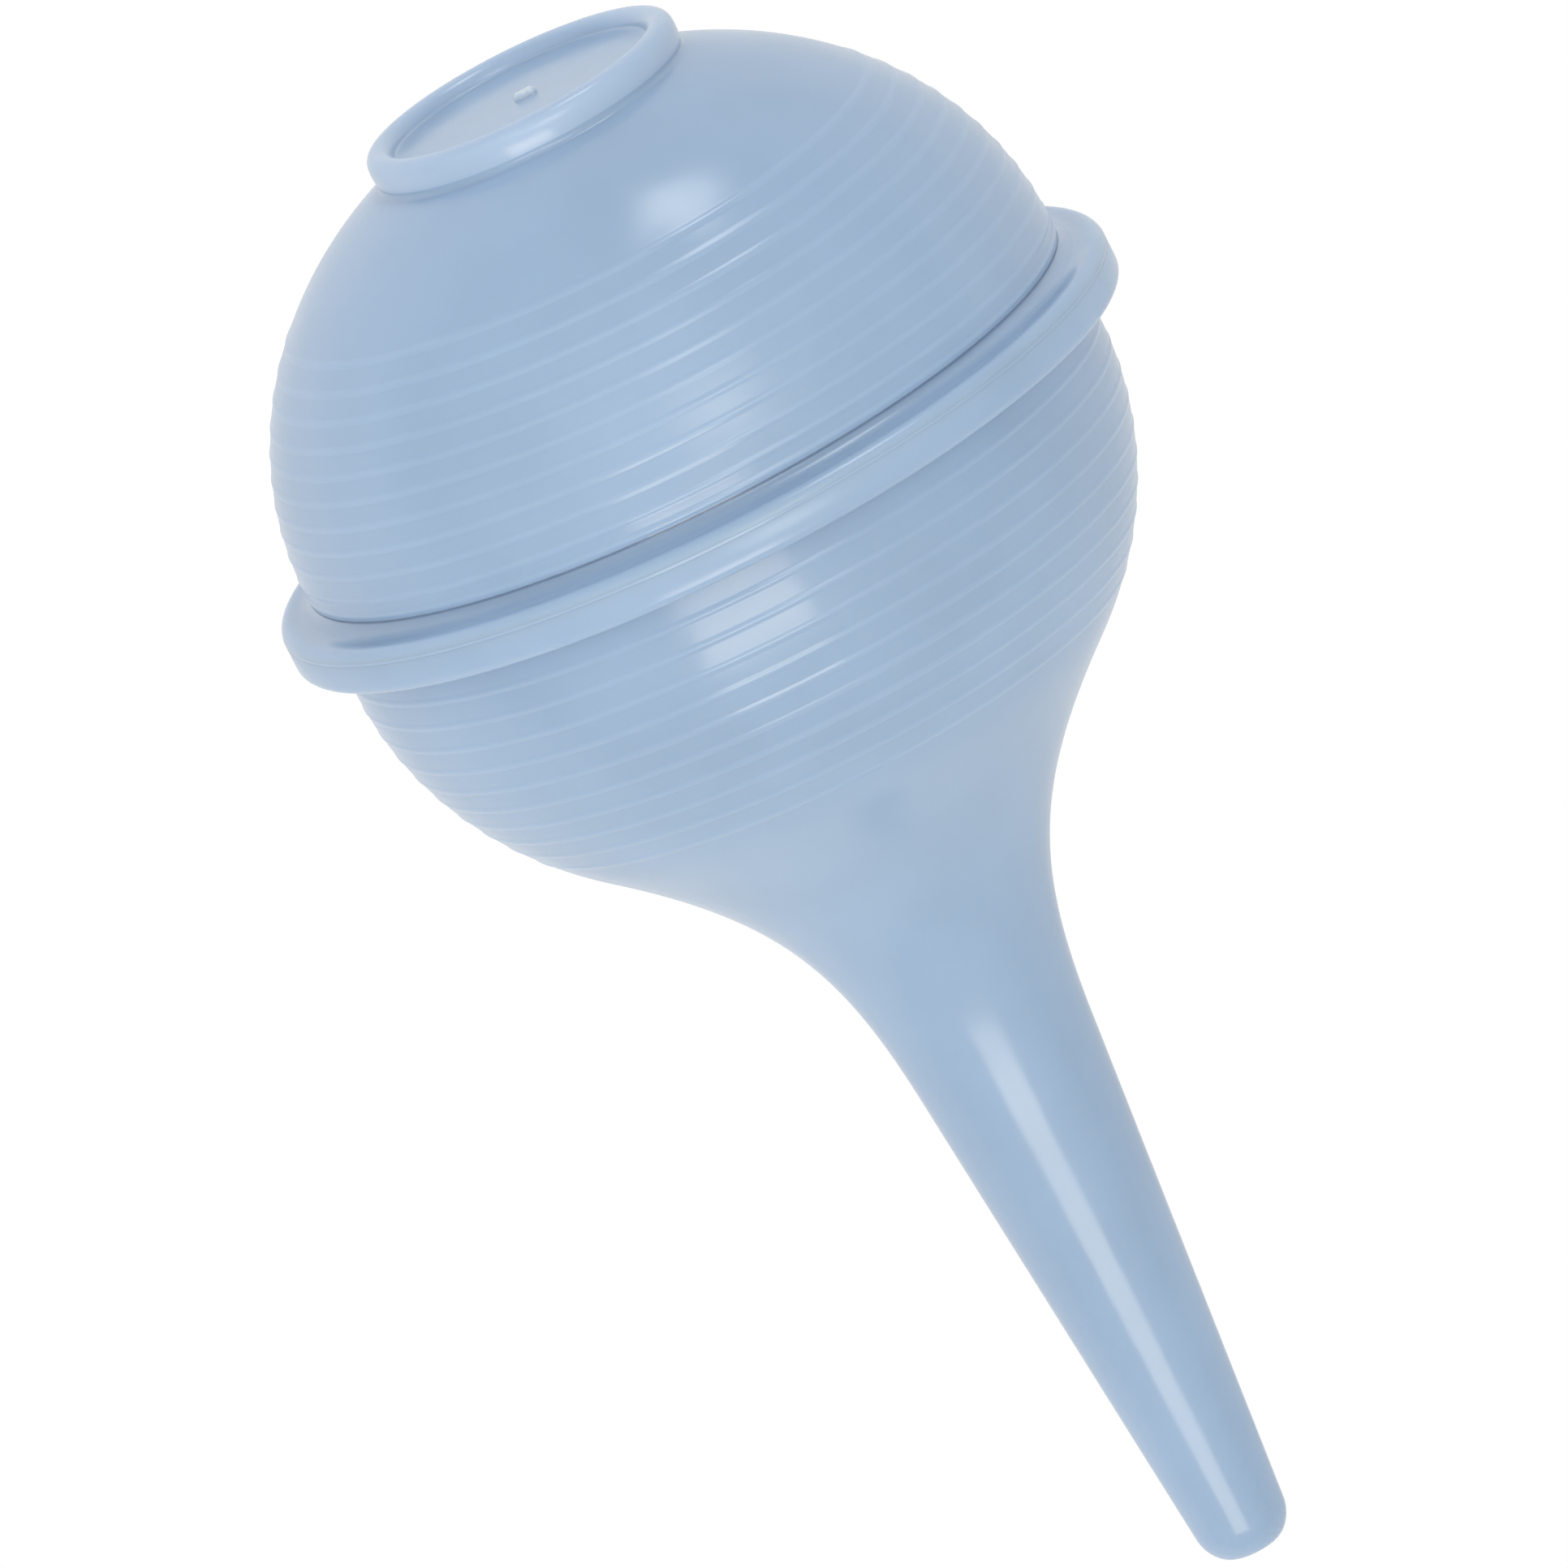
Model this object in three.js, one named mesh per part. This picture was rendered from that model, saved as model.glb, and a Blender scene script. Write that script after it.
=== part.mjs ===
// A bulb nasal aspirator: two soft mouldings welded at a ring.
// Millimetres. +Z runs from the thumb base, which it stands on, to the nozzle tip.
import * as THREE from 'three';

// Driving dimensions. Each outline is a half section, [radius, height], turned round the axis.
const LENGTH = 105;
const BULB_RADIUS = 25.85;
const WALL = 1.8;
const SEGMENTS = 48;               // facets round the axis
const CURVE_STEPS = 4;             // twice this many facets along an arc or dome
const NECK_STEPS = 10;             // facets along the neck's curves
const GAP = 0.05;                  // between welded or moulded-together solids

const LIP_OUTER_RADIUS = 10.5;     // the foot's raised lip
const LIP_FLARED_RADIUS = 11;
const LIP_FLARE_Z = 2.5;
const LIP_FLAT_OUTER = 10.2;       // the flat that meets the ground
const LIP_FLAT_INNER = 9.6;
const LIP_ROUND = 0.4;
const RECESS_DEPTH = 1.3;
const BASE_TOP_Z = 3.4;            // the base's inside face
const FOLD_GAP = 0.3;              // between the travelling base and the folding wall

const REAR_CENTRE_Z = 22.4;        // the rear dome is half of an ellipsoid
const REAR_DEPTH = 21.95;
const REAR_WALL_END_Z = 23.6;      // where the folding wall gives way to the ring

const RING_RADIUS = 28.4;
const RING_LOW_Z = 24.4;
const RING_HIGH_Z = 27.4;
const RING_ROUND = 0.7;
const MOAT_ROUND = 0.8;            // the hollow between the dome and the ring's crest
const WELD_Z = 25.2;
const WELD_THICKNESS = 0.2;

const FRONT_CENTRE_Z = 29.9;       // the front dome is a zone of a second ellipsoid
const FRONT_DEPTH = 23.5;
const DOME_END_ANGLE = 0.81;       // from the front dome's equator, in radians
const DOME_HANDLE = 11.9;          // handles of the neck's curve, at the dome and at the taper
const TAPER_HANDLE = 9.8;

const TAPER_START_Z = 69.5;
const TAPER_START_RADIUS = 6;
const TAPER_END_Z = 102.9;
const TAPER_END_RADIUS = 3.05;
const NOZZLE_WALL = 2;
const TIP_CORNER_RADIUS = 2.87;    // where the taper would meet the tip's flat
const TIP_FLAT_RADIUS = 1.45;
const ORIFICE_RADIUS = 1.05;

const CORE_RADIUS = BULB_RADIUS - WALL;
const QUARTER = Math.PI / 2;
const BLUE = 0xa9c1dd;
const PALE_BLUE = 0xb4cae2;

// A closed half section turned round the axis into one named solid.
function turned(name, outline, colour = BLUE, steps = CURVE_STEPS) {
  const points = outline.getPoints(steps);
  if (points[0].x > 0) points.push(points[0].clone());
  const geometry = new THREE.LatheGeometry(points, SEGMENTS);
  geometry.rotateX(QUARTER);
  const material = new THREE.MeshStandardMaterial({ color: colour, roughness: 0.3, metalness: 0 });
  const mesh = new THREE.Mesh(geometry, material);
  mesh.name = name;
  return mesh;
}

// The angle from the rear dome's pole side at which its outside or inside has a given radius.
function rearAngle(radius, inset) {
  return -Math.acos(radius / (BULB_RADIUS - inset));
}

// Where the front dome ends, on its outside (inset 0) or its inside (inset WALL), and its slope there.
function domeEnd(inset) {
  const across = BULB_RADIUS - inset;
  const along = FRONT_DEPTH - inset;
  const point = new THREE.Vector2(
    across * Math.cos(DOME_END_ANGLE),
    FRONT_CENTRE_Z + along * Math.sin(DOME_END_ANGLE),
  );
  const slope = new THREE.Vector2(
    -across * Math.sin(DOME_END_ANGLE),
    along * Math.cos(DOME_END_ANGLE),
  ).normalize();
  return { point, slope };
}

function thumbBase() {
  const outline = new THREE.Path();
  outline.moveTo(0, BASE_TOP_Z);
  outline.lineTo(0, RECESS_DEPTH);
  outline.lineTo(LIP_FLAT_INNER - LIP_ROUND, RECESS_DEPTH);
  outline.lineTo(LIP_FLAT_INNER - LIP_ROUND, LIP_ROUND);
  outline.absarc(LIP_FLAT_INNER, LIP_ROUND, LIP_ROUND, Math.PI, 3 * QUARTER, false);
  outline.lineTo(LIP_FLAT_OUTER, 0);
  outline.lineTo(LIP_OUTER_RADIUS, LIP_ROUND);
  outline.lineTo(LIP_FLARED_RADIUS, LIP_FLARE_Z);
  outline.lineTo(LIP_FLARED_RADIUS, BASE_TOP_Z);
  outline.lineTo(0, BASE_TOP_Z);
  return turned('thumb_base', outline);
}

function rearWall() {
  const edge = LIP_FLARED_RADIUS + FOLD_GAP;
  const outline = new THREE.Path();
  outline.absellipse(0, REAR_CENTRE_Z, BULB_RADIUS, REAR_DEPTH, rearAngle(edge, 0), 0, false);
  outline.lineTo(BULB_RADIUS, REAR_WALL_END_Z);
  outline.lineTo(CORE_RADIUS, REAR_WALL_END_Z);
  outline.absellipse(
    0, REAR_CENTRE_Z, CORE_RADIUS, REAR_DEPTH - WALL, 0, rearAngle(edge, WALL), true,
  );
  return turned('rear_wall', outline);
}

function rearFlange() {
  const moatRadius = BULB_RADIUS + MOAT_ROUND;
  const outline = new THREE.Path();
  outline.moveTo(CORE_RADIUS, REAR_WALL_END_Z + GAP);
  outline.lineTo(BULB_RADIUS, REAR_WALL_END_Z + GAP);
  outline.absarc(moatRadius, RING_LOW_Z - MOAT_ROUND + GAP, MOAT_ROUND - GAP, Math.PI, QUARTER, true);
  outline.absarc(
    RING_RADIUS - RING_ROUND, RING_LOW_Z + RING_ROUND, RING_ROUND, -QUARTER, 0, false,
  );
  outline.lineTo(RING_RADIUS, WELD_Z - WELD_THICKNESS / 2 - GAP);
  outline.lineTo(CORE_RADIUS, WELD_Z - WELD_THICKNESS / 2 - GAP);
  return turned('rear_flange', outline, PALE_BLUE);
}

function weldBead() {
  const outline = new THREE.Path();
  outline.moveTo(CORE_RADIUS, WELD_Z - WELD_THICKNESS / 2);
  outline.lineTo(RING_RADIUS, WELD_Z - WELD_THICKNESS / 2);
  outline.lineTo(RING_RADIUS, WELD_Z + WELD_THICKNESS / 2);
  outline.lineTo(CORE_RADIUS, WELD_Z + WELD_THICKNESS / 2);
  return turned('weld_bead', outline, PALE_BLUE);
}

function frontFlange() {
  const outline = new THREE.Path();
  outline.moveTo(CORE_RADIUS, WELD_Z + WELD_THICKNESS / 2 + GAP);
  outline.lineTo(RING_RADIUS, WELD_Z + WELD_THICKNESS / 2 + GAP);
  outline.absarc(
    RING_RADIUS - RING_ROUND, RING_HIGH_Z - RING_ROUND, RING_ROUND, 0, QUARTER, false,
  );
  outline.lineTo(CORE_RADIUS, RING_HIGH_Z);
  return turned('front_flange', outline, PALE_BLUE);
}

function frontDome() {
  const outline = new THREE.Path();
  outline.moveTo(CORE_RADIUS, RING_HIGH_Z + GAP);
  outline.lineTo(BULB_RADIUS, RING_HIGH_Z + GAP);
  outline.absellipse(0, FRONT_CENTRE_Z, BULB_RADIUS, FRONT_DEPTH, 0, DOME_END_ANGLE, false);
  outline.absellipse(0, FRONT_CENTRE_Z, CORE_RADIUS, FRONT_DEPTH - WALL, DOME_END_ANGLE, 0, true);
  return turned('front_dome', outline);
}

function nozzle() {
  const outside = domeEnd(0);
  const inside = domeEnd(WALL);
  const clear = outside.slope.clone().multiplyScalar(GAP);
  const start = outside.point.clone().add(clear);
  const back = inside.point.clone().add(clear);
  const taper = new THREE.Vector2(
    TAPER_END_RADIUS - TAPER_START_RADIUS,
    TAPER_END_Z - TAPER_START_Z,
  ).normalize();
  const taperPull = taper.clone().multiplyScalar(-TAPER_HANDLE);
  const boreRadius = TAPER_START_RADIUS - NOZZLE_WALL;

  const outline = new THREE.Path();
  outline.moveTo(start.x, start.y);
  outline.bezierCurveTo(
    start.x + outside.slope.x * DOME_HANDLE, start.y + outside.slope.y * DOME_HANDLE,
    TAPER_START_RADIUS + taperPull.x, TAPER_START_Z + taperPull.y,
    TAPER_START_RADIUS, TAPER_START_Z,
  );
  outline.lineTo(TAPER_END_RADIUS, TAPER_END_Z);
  outline.quadraticCurveTo(TIP_CORNER_RADIUS, LENGTH, TIP_FLAT_RADIUS, LENGTH);
  outline.lineTo(ORIFICE_RADIUS, LENGTH);
  outline.lineTo(boreRadius, TAPER_START_Z);
  outline.bezierCurveTo(
    boreRadius + taperPull.x, TAPER_START_Z + taperPull.y,
    back.x + inside.slope.x * DOME_HANDLE, back.y + inside.slope.y * DOME_HANDLE,
    back.x, back.y,
  );
  return turned('nozzle', outline, BLUE, NECK_STEPS);
}

const aspirator = new THREE.Group();
aspirator.add(
  thumbBase(), rearWall(), rearFlange(), weldBead(), frontFlange(), frontDome(), nozzle(),
);

export default aspirator;
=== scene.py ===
"""Studio scene of a bulb nasal aspirator: two soft PVC mouldings welded at a ring.

Metres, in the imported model's frame: +Z runs from the thumb base to the nozzle tip.
"""
import math
import random

import bmesh
import bpy
import numpy as np
from mathutils import Matrix, Vector


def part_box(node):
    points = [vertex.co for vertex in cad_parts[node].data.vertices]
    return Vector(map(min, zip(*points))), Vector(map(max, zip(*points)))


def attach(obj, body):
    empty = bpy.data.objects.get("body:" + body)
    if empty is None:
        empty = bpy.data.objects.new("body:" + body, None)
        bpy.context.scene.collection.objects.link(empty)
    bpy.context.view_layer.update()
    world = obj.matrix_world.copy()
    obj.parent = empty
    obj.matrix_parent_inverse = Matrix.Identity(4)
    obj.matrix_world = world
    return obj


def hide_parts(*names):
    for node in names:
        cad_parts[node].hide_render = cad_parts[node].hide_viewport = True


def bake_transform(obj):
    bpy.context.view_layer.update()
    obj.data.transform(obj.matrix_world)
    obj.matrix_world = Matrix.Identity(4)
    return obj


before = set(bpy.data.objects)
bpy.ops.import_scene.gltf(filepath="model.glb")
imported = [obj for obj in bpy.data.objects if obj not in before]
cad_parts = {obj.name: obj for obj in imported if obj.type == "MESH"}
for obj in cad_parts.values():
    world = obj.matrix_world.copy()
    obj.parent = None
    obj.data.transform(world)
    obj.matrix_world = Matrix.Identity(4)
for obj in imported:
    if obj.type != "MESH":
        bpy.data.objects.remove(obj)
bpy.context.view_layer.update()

MM = 0.001

# ---------------------------------------------------------------- sizes taken from the frame
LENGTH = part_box("nozzle")[1].z
BULB_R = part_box("rear_wall")[1].x
RING_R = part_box("front_flange")[1].x
RING_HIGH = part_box("front_flange")[1].z
CREASE_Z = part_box("rear_wall")[1].z
WELD_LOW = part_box("weld_bead")[0].z
WELD_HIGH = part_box("weld_bead")[1].z

# ---------------------------------------------------------------- the outline's own sizes
WALL = 1.8 * MM
REAR_CENTRE_Z = 22.8 * MM
REAR_DEPTH = 22.35 * MM
FRONT_CENTRE_Z = 29.9 * MM
FRONT_DEPTH = 23.5 * MM
DOME_END_ANGLE = 0.81              # from the front dome's equator, in radians
DOME_HANDLE = 11.9 * MM
TAPER_HANDLE = 9.8 * MM
TAPER_START = (6.0 * MM, 69.5 * MM)
TAPER_END = (3.05 * MM, 102.9 * MM)
NOZZLE_WALL = 2 * MM
RING_LOW = 24.4 * MM
FACE_CHAMFER = 0.01 * MM           # at the rim of the two welded faces
ORIFICE_R = 1.05 * MM
TIP_FLAT_R = 1.4 * MM

RECESS_DEPTH = 1 * MM
RECESS_EDGE_R = 7.6 * MM           # where the recess floor starts to rise to the lip
LIP_MIDDLE_R = 9.6 * MM
LIP_INNER_ROUND = 0.9 * MM
LIP_OUTER_R = 10.5 * MM
LIP_FOOT_R = 10.4 * MM             # where the lip's outside meets the groove at its foot
LIP_FOOT_Z = 2.05 * MM
DOME_START_Z = 2.42 * MM
BASE_INSIDE_Z = 3.4 * MM

RIB_HALF_WIDTH = 0.3 * MM
RIB_HEIGHT = 0.055 * MM
REAR_RIBS = [(8.67 + 1.407 * i + 0.0088 * i * i) * MM for i in range(10)] + [CREASE_Z - 0.42 * MM]
FRONT_RIBS = [(29.38 + 1.781 * i - 0.0169 * i * i) * MM for i in range(10)]

SEGMENTS = 256


# ---------------------------------------------------------------- camera
BELOW = math.radians(13.87)        # how far the camera looks up from under the foot
TOWARDS_CAMERA = Vector((0, -math.cos(BELOW), -math.sin(BELOW)))


def make_camera():
    """Long lens a little below the foot, rolled so that the nozzle points down to the right."""
    roll = math.radians(26.85)
    distance = 2.017
    aim = Vector((0.182 * BULB_R, 0, 0.4523 * LENGTH))
    along = Vector((0, -math.sin(BELOW), math.cos(BELOW)))
    side = Vector((1, 0, 0))
    right = math.sin(roll) * along - math.cos(roll) * side
    up = -math.cos(roll) * along - math.sin(roll) * side
    data = bpy.data.cameras.new("camera")
    data.sensor_width = 36
    data.lens = 745.3
    data.clip_end = 20
    camera = bpy.data.objects.new("camera", data)
    bpy.context.scene.collection.objects.link(camera)
    turn = Matrix((right, up, TOWARDS_CAMERA)).transposed()
    camera.matrix_world = Matrix.Translation(aim + TOWARDS_CAMERA * distance) @ turn.to_4x4()
    bpy.context.scene.camera = camera


# ---------------------------------------------------------------- outlines, as (radius, height)
def arc(centre, radius, start, end, steps):
    """Points on a circular arc between two angles in degrees."""
    angles = np.radians(np.linspace(start, end, steps + 1))
    return [(centre[0] + radius * math.cos(a), centre[1] + radius * math.sin(a)) for a in angles]


def bezier(p0, p1, p2, p3, steps):
    """Points on a cubic curve."""
    t = np.linspace(0, 1, steps + 1)[:, None]
    corners = [np.array(p) for p in (p0, p1, p2, p3)]
    weights = ((1 - t) ** 3, 3 * t * (1 - t) ** 2, 3 * t * t * (1 - t), t**3)
    return [tuple(p) for p in sum(w * c for w, c in zip(weights, corners))]


def straight(p0, p1, steps):
    """Evenly spaced points on a line."""
    t = np.linspace(0, 1, steps + 1)[:, None]
    return [tuple(p) for p in np.array(p0) + (np.array(p1) - np.array(p0)) * t]


def joined(*stretches):
    """One outline from stretches that meet end to end, without doubled points."""
    outline = []
    for stretch in stretches:
        for point in stretch:
            if not outline or math.dist(point, outline[-1]) > 0.005 * MM:
                outline.append(point)
    return outline


def dome_point(centre_z, depth, z, inset=0.0):
    """The dome's outside (or inside) at a height, and its outward normal there."""
    across, along = BULB_R - inset, depth - inset
    rise = max(-1.0, min(1.0, (z - centre_z) / along))
    radius = across * math.sqrt(1 - rise * rise)
    normal = Vector((radius / across**2, rise / along)).normalized()
    return Vector((radius, z)), normal


def ribbed_dome(centre_z, depth, ribs, z_from, z_to):
    """The outside of a dome between two heights, with fine raised ribs; straight past the equator."""
    heights = [z_from + (z_to - z_from) * i / 60 for i in range(61)]
    heights = [h for h in heights if all(abs(h - rib) > 1.6 * RIB_HALF_WIDTH for rib in ribs)]
    for rib in ribs:
        heights += [rib + RIB_HALF_WIDTH * k / 4 for k in range(-6, 7)]
    points = []
    for z in sorted(heights):
        straight_part = (z - centre_z) * (z_to + z_from - 2 * centre_z) < 0
        point, normal = dome_point(centre_z, depth, centre_z if straight_part else z)
        point.y = z
        off = min(abs(z - rib) for rib in ribs) / RIB_HALF_WIDTH
        if off < 1:
            point += normal * RIB_HEIGHT * math.cos(math.pi / 2 * off) ** 2
        points.append(tuple(point))
    return points


def inner_dome(centre_z, depth, z_from, z_to, steps):
    """The inside of a dome between two heights, evenly by angle."""
    along = depth - WALL
    start, end = (math.asin(max(-1, min(1, (z - centre_z) / along))) for z in (z_from, z_to))
    angles = np.linspace(start, end, steps + 1)
    return [((BULB_R - WALL) * math.cos(a), centre_z + along * math.sin(a)) for a in angles]


def dome_end(inset):
    """Where the front dome gives way to the neck, and its direction there."""
    across, along = BULB_R - inset, FRONT_DEPTH - inset
    sine, cosine = math.sin(DOME_END_ANGLE), math.cos(DOME_END_ANGLE)
    point = np.array((across * cosine, FRONT_CENTRE_Z + along * sine))
    direction = np.array((-across * sine, along * cosine))
    return point, direction / np.linalg.norm(direction)


# ---------------------------------------------------------------- meshes
def turned(name, outline, closed):
    """A closed body from an outline turned round Z. An open outline starts and ends on the axis."""
    mesh = bmesh.new()
    rings = []
    for radius, z in outline:
        if radius < 1e-7:
            rings.append([mesh.verts.new((0, 0, z))])
            continue
        rings.append(
            [
                mesh.verts.new((radius * math.cos(a), radius * math.sin(a), z))
                for a in (2 * math.pi * i / SEGMENTS for i in range(SEGMENTS))
            ]
        )
    pairs = list(zip(rings, rings[1:]))
    if closed:
        pairs.append((rings[-1], rings[0]))
    for low, high in pairs:
        for i in range(SEGMENTS):
            k = (i + 1) % SEGMENTS
            if len(low) == 1:
                mesh.faces.new((low[0], high[k], high[i]))
            elif len(high) == 1:
                mesh.faces.new((low[i], low[k], high[0]))
            else:
                mesh.faces.new((low[i], low[k], high[k], high[i]))
    bmesh.ops.recalc_face_normals(mesh, faces=mesh.faces)
    return as_object(name, mesh)


def as_object(name, mesh):
    """A smooth-shaded object from a bmesh, with its hard corners kept sharp."""
    data = bpy.data.meshes.new(name)
    mesh.to_mesh(data)
    mesh.free()
    data.shade_smooth()
    data.set_sharp_from_angle(angle=math.radians(55))
    piece = bpy.data.objects.new(name, data)
    bpy.context.scene.collection.objects.link(piece)
    return piece


# ---------------------------------------------------------------- materials
def soft_pvc(name, colour, translucent=0.3):
    """Glossy, slightly translucent moulded PVC, with faint mottling and an uneven skin."""
    material = bpy.data.materials.new(name)
    material.use_nodes = True
    nodes, links = material.node_tree.nodes, material.node_tree.links
    shader = nodes["Principled BSDF"]
    shader.inputs["IOR"].default_value = 1.5
    shader.inputs["Subsurface Weight"].default_value = translucent
    shader.inputs["Subsurface Radius"].default_value = (0.9, 1.1, 1.6)
    shader.inputs["Subsurface Scale"].default_value = 1 * MM

    place = nodes.new("ShaderNodeTexCoord")

    def noise(scale, detail):
        node = nodes.new("ShaderNodeTexNoise")
        node.inputs["Scale"].default_value = scale
        node.inputs["Detail"].default_value = detail
        links.new(place.outputs["Object"], node.inputs["Vector"])
        return node

    def ramp(source, low, high, start=0.35, end=0.65):
        node = nodes.new("ShaderNodeValToRGB")
        node.color_ramp.elements[0].position = start
        node.color_ramp.elements[0].color = (*low, 1)
        node.color_ramp.elements[1].position = end
        node.color_ramp.elements[1].color = (*high, 1)
        links.new(source, node.inputs["Fac"])
        return node

    mottle = noise(90, 3)
    shade = ramp(mottle.outputs["Fac"], [c * 0.97 for c in colour], [min(1, c * 1.03) for c in colour])
    links.new(shade.outputs["Color"], shader.inputs["Base Color"])

    haze = noise(160, 4)
    gloss = ramp(haze.outputs["Fac"], (0.15,) * 3, (0.2,) * 3)
    links.new(gloss.outputs["Color"], shader.inputs["Roughness"])

    ripple = nodes.new("ShaderNodeBump")
    ripple.inputs["Strength"].default_value = 1
    ripple.inputs["Distance"].default_value = 0.06 * MM
    links.new(noise(230, 1).outputs["Fac"], ripple.inputs["Height"])
    skin = nodes.new("ShaderNodeBump")
    skin.inputs["Strength"].default_value = 0.15
    skin.inputs["Distance"].default_value = 0.02 * MM
    links.new(noise(1400, 2).outputs["Fac"], skin.inputs["Height"])
    links.new(ripple.outputs["Normal"], skin.inputs["Normal"])
    links.new(skin.outputs["Normal"], shader.inputs["Normal"])
    return material


def other_places(piece, shows, material):
    """Give the faces whose middle meets a test, on radius and height, another material."""
    piece.data.materials.append(material)
    for face in piece.data.polygons:
        x, y, z = face.center
        if shows(math.hypot(x, y), z):
            face.material_index = len(piece.data.materials) - 1


def on_rib(ribs):
    """The test for the top of a rib on a dome's outside, where the ribs' paler painted highlight goes."""
    top = RIB_HALF_WIDTH * 0.7
    return lambda radius, z: radius > BULB_R / 3 and min(abs(z - rib) for rib in ribs) < top


# ---------------------------------------------------------------- pieces
def rear_half():
    """The rear moulding: foot with its lip and thumb recess, ribbed dome, and the ring's foot side."""
    inner_side = arc((LIP_MIDDLE_R, LIP_INNER_ROUND), LIP_INNER_ROUND, 187, 270, 14)
    floor_edge = (RECESS_EDGE_R, RECESS_DEPTH)
    lip_low = (LIP_MIDDLE_R, 0)
    lip_side = (LIP_OUTER_R, 0.8 * MM)
    lip_foot = (LIP_FOOT_R, LIP_FOOT_Z)
    dome_start, _ = dome_point(REAR_CENTRE_Z, REAR_DEPTH, DOME_START_Z)
    crest = 0.8 * MM
    wall_end = CREASE_Z - 0.1 * MM
    wall_round = 0.1 * MM
    core = BULB_R - WALL
    face = WELD_LOW
    outline = joined(
        straight((0, RECESS_DEPTH), floor_edge, 12),
        bezier(floor_edge, (8.35 * MM, RECESS_DEPTH), (8.65 * MM, 0.97 * MM), inner_side[0], 12),
        inner_side,
        bezier(lip_low, (10.15 * MM, 0), (10.45 * MM, 0.3 * MM), lip_side, 14),
        bezier(lip_side, (10.55 * MM, 1.3 * MM), (10.48 * MM, 1.75 * MM), lip_foot, 12),
        bezier(lip_foot, (10.36 * MM, 2.2 * MM), (10.48 * MM, 2.37 * MM), tuple(dome_start), 8),
        ribbed_dome(REAR_CENTRE_Z, REAR_DEPTH, REAR_RIBS, dome_start.y, wall_end),
        arc((BULB_R - wall_round, wall_end), wall_round, 0, 60, 4),
        bezier(
            (BULB_R - wall_round, wall_end + wall_round),
            (BULB_R - 0.2 * MM, wall_end + 0.4 * MM),
            (BULB_R + 0.35 * MM, wall_end + 1 * MM),
            (BULB_R + 1.5 * MM, RING_LOW),
            14,
        ),
        arc((RING_R - crest, RING_LOW + crest), crest, -90, -15, 12),
        [(RING_R, face - FACE_CHAMFER)],
        straight((RING_R - FACE_CHAMFER, face), (core, face), 6),
        inner_dome(REAR_CENTRE_Z, REAR_DEPTH, REAR_CENTRE_Z, BASE_INSIDE_Z, 40),
        [(0, BASE_INSIDE_Z - 0.05 * MM)],
    )
    return turned("rear_half", outline, closed=False)


def front_half():
    """The front moulding: the ring's nozzle side, ribbed dome, neck, and the nozzle with its bore."""
    core = BULB_R - WALL
    face = WELD_HIGH
    corner = 0.6 * MM
    fillet = 0.2 * MM
    out_end, out_way = dome_end(0)
    in_end, in_way = dome_end(WALL)
    taper = np.array(TAPER_END) - np.array(TAPER_START)
    taper /= np.linalg.norm(taper)
    start = np.array(TAPER_START)
    bore = start - np.array((NOZZLE_WALL, 0))
    lip = 0.3 * MM
    outline = joined(
        straight((core, face), (RING_R - FACE_CHAMFER, face), 6),
        [(RING_R, face + FACE_CHAMFER)],
        arc((RING_R - corner, RING_HIGH - corner), corner, 0, 90, 12),
        arc((BULB_R + fillet, RING_HIGH + fillet), fillet, 270, 180, 5),
        ribbed_dome(FRONT_CENTRE_Z, FRONT_DEPTH, FRONT_RIBS, RING_HIGH + fillet, out_end[1]),
        bezier(out_end, out_end + out_way * DOME_HANDLE, start - taper * TAPER_HANDLE, start, 48),
        straight(start, TAPER_END, 16),
        bezier(
            TAPER_END,
            np.array(TAPER_END) + taper * 1.15 * MM,
            (TIP_FLAT_R + 0.75 * MM, LENGTH),
            (TIP_FLAT_R, LENGTH),
            14,
        ),
        arc((ORIFICE_R + lip, LENGTH - lip), lip, 90, 180, 6),
        straight((ORIFICE_R, LENGTH - 1 * MM), bore, 20),
        bezier(bore, bore - taper * TAPER_HANDLE, in_end + in_way * DOME_HANDLE, in_end, 30),
        inner_dome(FRONT_CENTRE_Z, FRONT_DEPTH, in_end[1], FRONT_CENTRE_Z, 20),
    )
    return turned("front_half", outline, closed=True)


def weld_line():
    """The thin welded layer between the flanges, just inside the ring's rim."""
    core = BULB_R - WALL + 0.1 * MM
    edge = RING_R - 0.02 * MM
    middle = (WELD_LOW + WELD_HIGH) / 2
    thick = (WELD_HIGH - WELD_LOW) / 2 - 0.002 * MM
    outline = [
        (core, middle - thick),
        (edge, middle - thick),
        (edge + 0.01 * MM, middle),
        (edge, middle + thick),
        (core, middle + thick),
    ]
    return turned("weld_line", outline, closed=True)


def gate_mark():
    """The trimmed stub left in the middle of the thumb recess by the moulding gate."""
    draw = random.Random(7)
    mesh = bmesh.new()
    bmesh.ops.create_icosphere(mesh, subdivisions=4, radius=1)
    for vertex in mesh.verts:
        x, y, z = (math.copysign(abs(c) ** 0.65, c) for c in vertex.co)
        rough = 1 + 0.12 * math.sin(5 * x + 1) * math.cos(7 * y) + draw.uniform(-0.03, 0.03)
        vertex.co = Vector((x * 0.72 - 0.25, y * 0.33, z * 0.45)) * rough * MM
        vertex.co.z += RECESS_DEPTH
    return as_object("gate_mark", mesh)


# ---------------------------------------------------------------- studio
ROOM_STRENGTH = 1.2
ROOM = [                            # place from far behind the object, 0, to the camera, 1, and shade
    (0, 0.7),
    (1, 1),
    (0.2, 0.9),
    (0.43, 0.82),
    (0.55, 0.4),
    (0.8, 0.5),
]
SIDE_GLOW = Vector((0.11, 0, -0.02))  # how much brighter the room is towards +X and the foot
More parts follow.
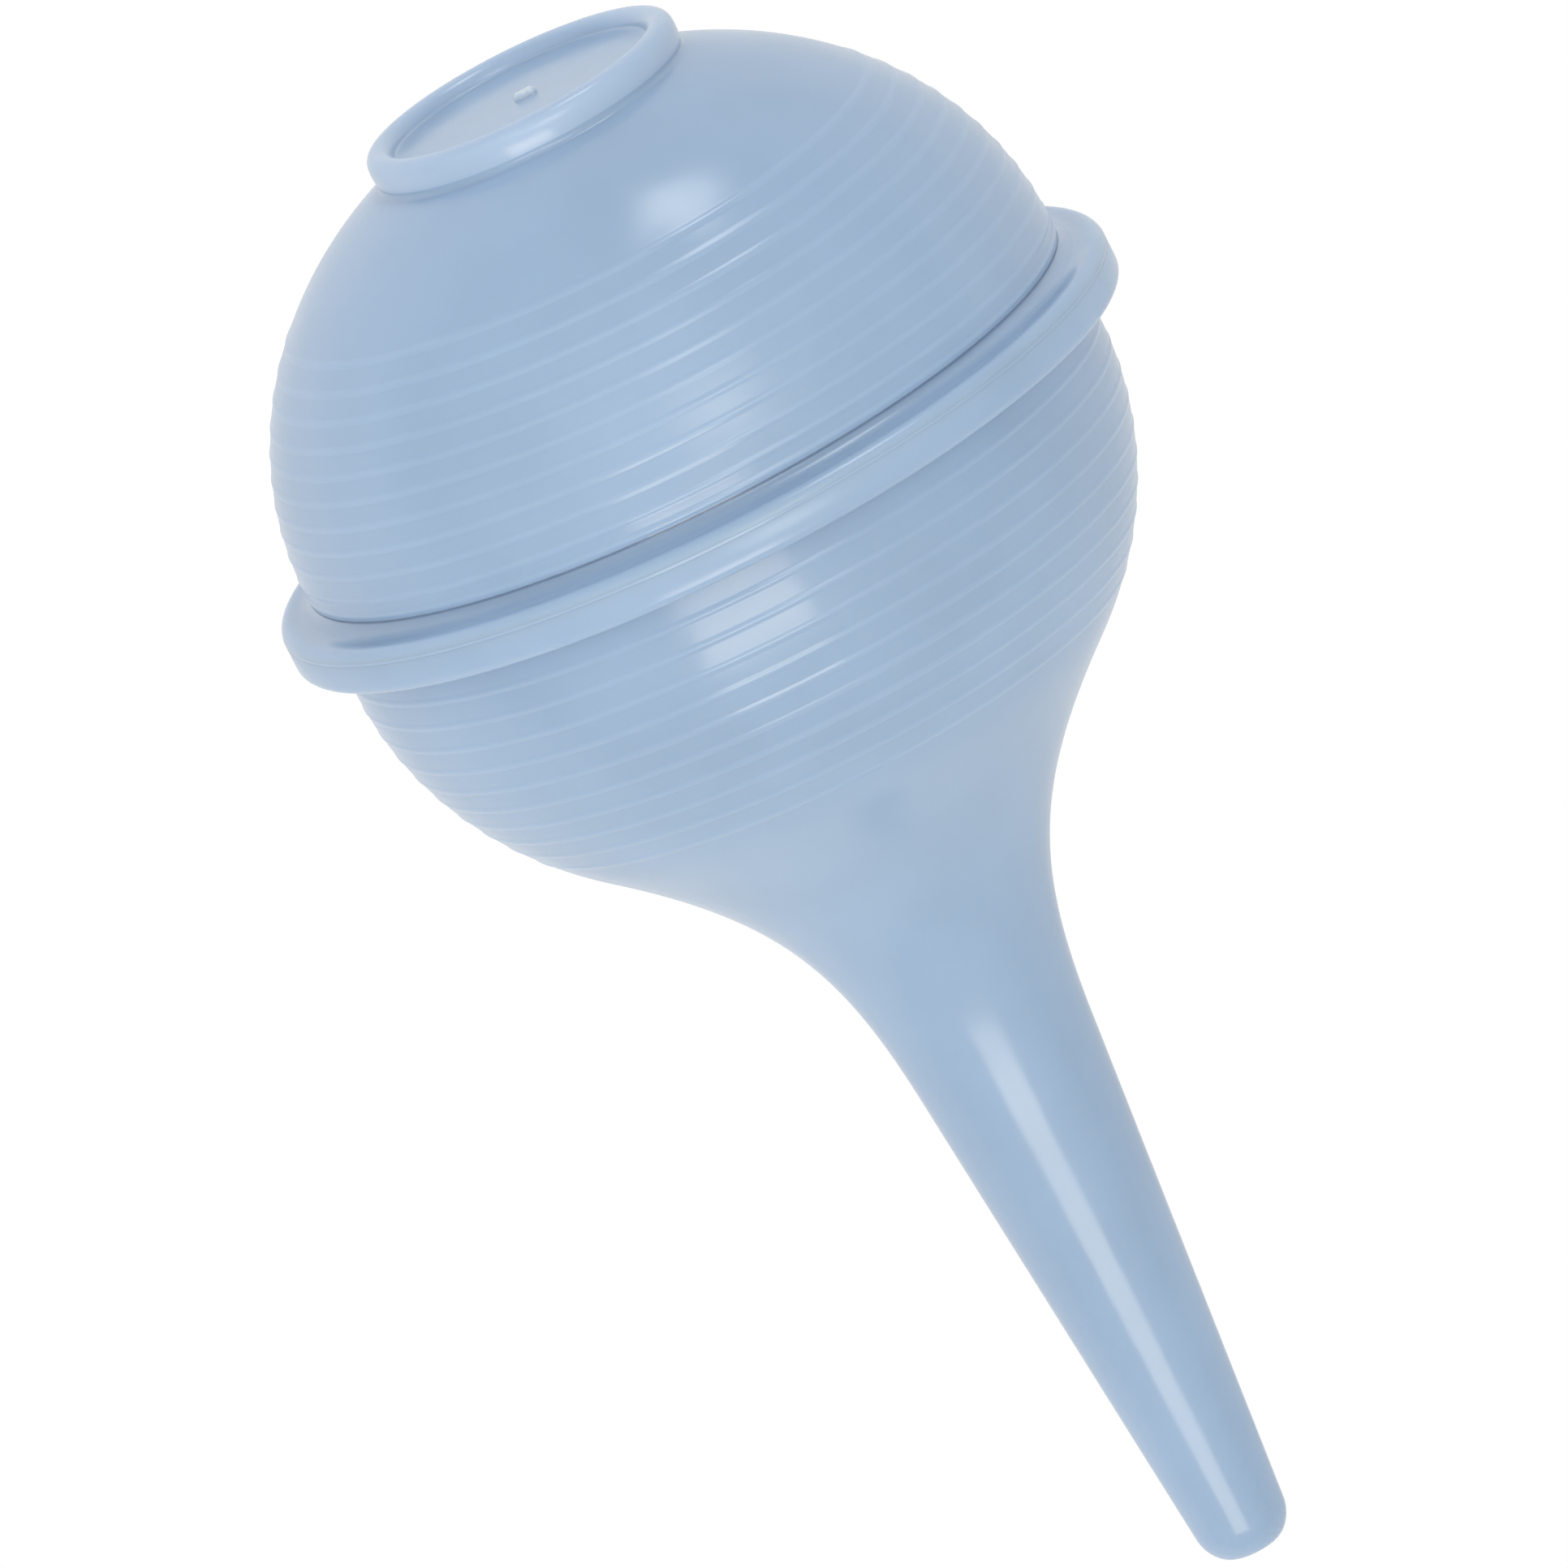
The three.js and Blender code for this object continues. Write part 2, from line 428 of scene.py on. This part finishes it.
# Each softbox's azimuth, elevation, half width, half height and soft edge in degrees, brightness and colour.
SOFTBOXES = [
    (9, 21.2, 16, 9.8, 2.5, 4.3, (1, 0.88, 0.7)),
    (-10, -13, 11, 11, 8, 2.7, (1, 0.94, 0.83)),
    (-82, -71, 9, 8, 5, 5, (1, 0.99, 0.97)),
]


def make_floor():
    """A plain pale floor, which only the camera sees, and only from above."""
    mesh = bmesh.new()
    bmesh.ops.create_circle(mesh, cap_ends=True, segments=96, radius=3)
    floor = as_object("floor", mesh)
    floor.location.z = -0.1 * MM
    for ray in ("diffuse", "glossy", "transmission", "volume_scatter", "shadow"):
        setattr(floor, f"visible_{ray}", False)
    material = bpy.data.materials.new("pale_floor")
    material.use_nodes = True
    nodes, links = material.node_tree.nodes, material.node_tree.links
    paint = nodes["Principled BSDF"]
    paint.inputs["Base Color"].default_value = (0.86, 0.86, 0.86, 1)
    paint.inputs["Roughness"].default_value = 0.9
    clear = nodes.new("ShaderNodeBsdfTransparent")
    side = nodes.new("ShaderNodeNewGeometry")
    mix = nodes.new("ShaderNodeMixShader")
    links.new(side.outputs["Backfacing"], mix.inputs["Fac"])
    links.new(paint.outputs["BSDF"], mix.inputs[1])
    links.new(clear.outputs["BSDF"], mix.inputs[2])
    links.new(mix.outputs["Shader"], nodes["Material Output"].inputs["Surface"])
    floor.data.materials.append(material)


def make_world():
    """White for the camera. A bright sweep behind the object, a dimmer room and softboxes light it."""
    world = bpy.data.worlds.new("studio")
    bpy.context.scene.world = world
    world.use_nodes = True
    nodes, links = world.node_tree.nodes, world.node_tree.links
    place = nodes.new("ShaderNodeTexCoord")

    def towards(way):
        node = nodes.new("ShaderNodeVectorMath")
        node.operation = "DOT_PRODUCT"
        node.inputs[1].default_value = way
        links.new(place.outputs["Generated"], node.inputs[0])
        return node.outputs["Value"]

    def spread(source, low, high, kind="LINEAR"):
        node = nodes.new("ShaderNodeMapRange")
        node.interpolation_type = kind
        node.inputs["From Min"].default_value = low
        node.inputs["From Max"].default_value = high
        links.new(source, node.inputs["Value"])
        return node.outputs["Result"]

    def maths(operation, *values):
        node = nodes.new("ShaderNodeMath")
        node.operation = operation
        for socket, value in zip(node.inputs, values):
            if isinstance(value, (int, float)):
                socket.default_value = value
            else:
                links.new(value, socket)
        return node.outputs["Value"]

    def softbox(azimuth, elevation, half_width, half_height, soft):
        """How much a direction lies in a soft-edged rectangle. Azimuth 0 is the camera's side."""
        a, e = math.radians(azimuth), math.radians(elevation)
        middle = Vector((math.sin(a) * math.cos(e), -math.cos(a) * math.cos(e), math.sin(e)))
        side = Vector((math.cos(a), math.sin(a), 0))
        inside = maths("GREATER_THAN", towards(middle), 0)
        for way, half in ((side, half_width), (middle.cross(side), half_height)):
            outer, inner = (math.sin(math.radians(half + edge)) for edge in (soft, -soft))
            within = spread(maths("ABSOLUTE", towards(way)), outer, inner, "SMOOTHSTEP")
            inside = maths("MULTIPLY", inside, within)
        return inside

    shades = nodes.new("ShaderNodeValToRGB")
    links.new(spread(towards(TOWARDS_CAMERA), -1, 1), shades.inputs["Fac"])
    for stop, (position, shade) in enumerate(ROOM):
        stops = shades.color_ramp.elements
        element = stops[stop] if stop < 2 else stops.new(position)
        element.color = (shade, shade, shade, 1)
    light = maths("MULTIPLY_ADD", shades.outputs["Color"], ROOM_STRENGTH, towards(SIDE_GLOW))
    for *window, brightness, colour in SOFTBOXES:
        tint = nodes.new("ShaderNodeVectorMath")
        tint.operation = "SCALE"
        tint.inputs[0].default_value = colour
        links.new(maths("MULTIPLY", softbox(*window), brightness), tint.inputs["Scale"])
        total = nodes.new("ShaderNodeVectorMath")
        links.new(light, total.inputs[0])
        links.new(tint.outputs["Vector"], total.inputs[1])
        light = total.outputs["Vector"]
    room = nodes["Background"]
    links.new(light, room.inputs["Color"])
    room.inputs["Strength"].default_value = 1
    backdrop = nodes.new("ShaderNodeBackground")
    backdrop.inputs["Color"].default_value = (1, 1, 1, 1)
    path = nodes.new("ShaderNodeLightPath")
    mix = nodes.new("ShaderNodeMixShader")
    links.new(path.outputs["Is Camera Ray"], mix.inputs["Fac"])
    links.new(room.outputs["Background"], mix.inputs[1])
    links.new(backdrop.outputs["Background"], mix.inputs[2])
    links.new(mix.outputs["Shader"], nodes["World Output"].inputs["Surface"])


make_camera()
make_floor()
make_world()

BLUE = (0.32, 0.451, 0.632)
THICK_BLUE = (0.339, 0.474, 0.66)   # the ring, where more PVC lies behind the skin
LIP_PAINTED_LIGHT_BLUE = (0.398, 0.527, 0.7)      # the foot's lip, painted paler: painted light standing in for the brighter light on its bead
RIB_PAINTED_HIGHLIGHT_BLUE = (0.333, 0.467, 0.652)    # the ribs' tops, painted a little paler: a painted highlight adding to the light lines that the ribs' shape catches
GATE_BLUE = (0.62, 0.72, 0.84)      # the gate's trimmed stub, whitish

blue = soft_pvc("blue_pvc", BLUE)
thick_blue = soft_pvc("thick_blue_pvc", THICK_BLUE)
lip_painted_light = soft_pvc("lip_painted_light_pvc", LIP_PAINTED_LIGHT_BLUE)
rib_painted_highlight = soft_pvc("rib_painted_highlight_pvc", RIB_PAINTED_HIGHLIGHT_BLUE)

rear = rear_half()
rear.data.materials.append(blue)
other_places(rear, lambda radius, z: radius > BULB_R + 0.7 * MM, thick_blue)
# the lip's bead gets the paler colour, painted light for the light it catches
other_places(rear, lambda radius, z: z < 1.9 * MM and radius > 8.6 * MM, lip_painted_light)
# the rib tops get the paler colour, a painted highlight on top of the light their shape catches
other_places(rear, on_rib(REAR_RIBS), rib_painted_highlight)
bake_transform(rear)
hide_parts("thumb_base", "rear_wall", "rear_flange")

front = front_half()
front.data.materials.append(blue)
other_places(front, lambda radius, z: radius > BULB_R + 0.2 * MM, thick_blue)
# the rib tops get the paler colour, a painted highlight on top of the light their shape catches
other_places(front, on_rib(FRONT_RIBS), rib_painted_highlight)
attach(front, "bulb")
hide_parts("front_flange", "front_dome", "nozzle")

weld = weld_line()
weld.data.materials.append(soft_pvc("weld_pvc", THICK_BLUE, translucent=0))
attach(weld, "bulb")
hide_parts("weld_bead")

gate = gate_mark()
gate.data.materials.append(soft_pvc("gate_pvc", GATE_BLUE))
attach(gate, "base")

bpy.context.scene.view_settings.view_transform = "Standard"
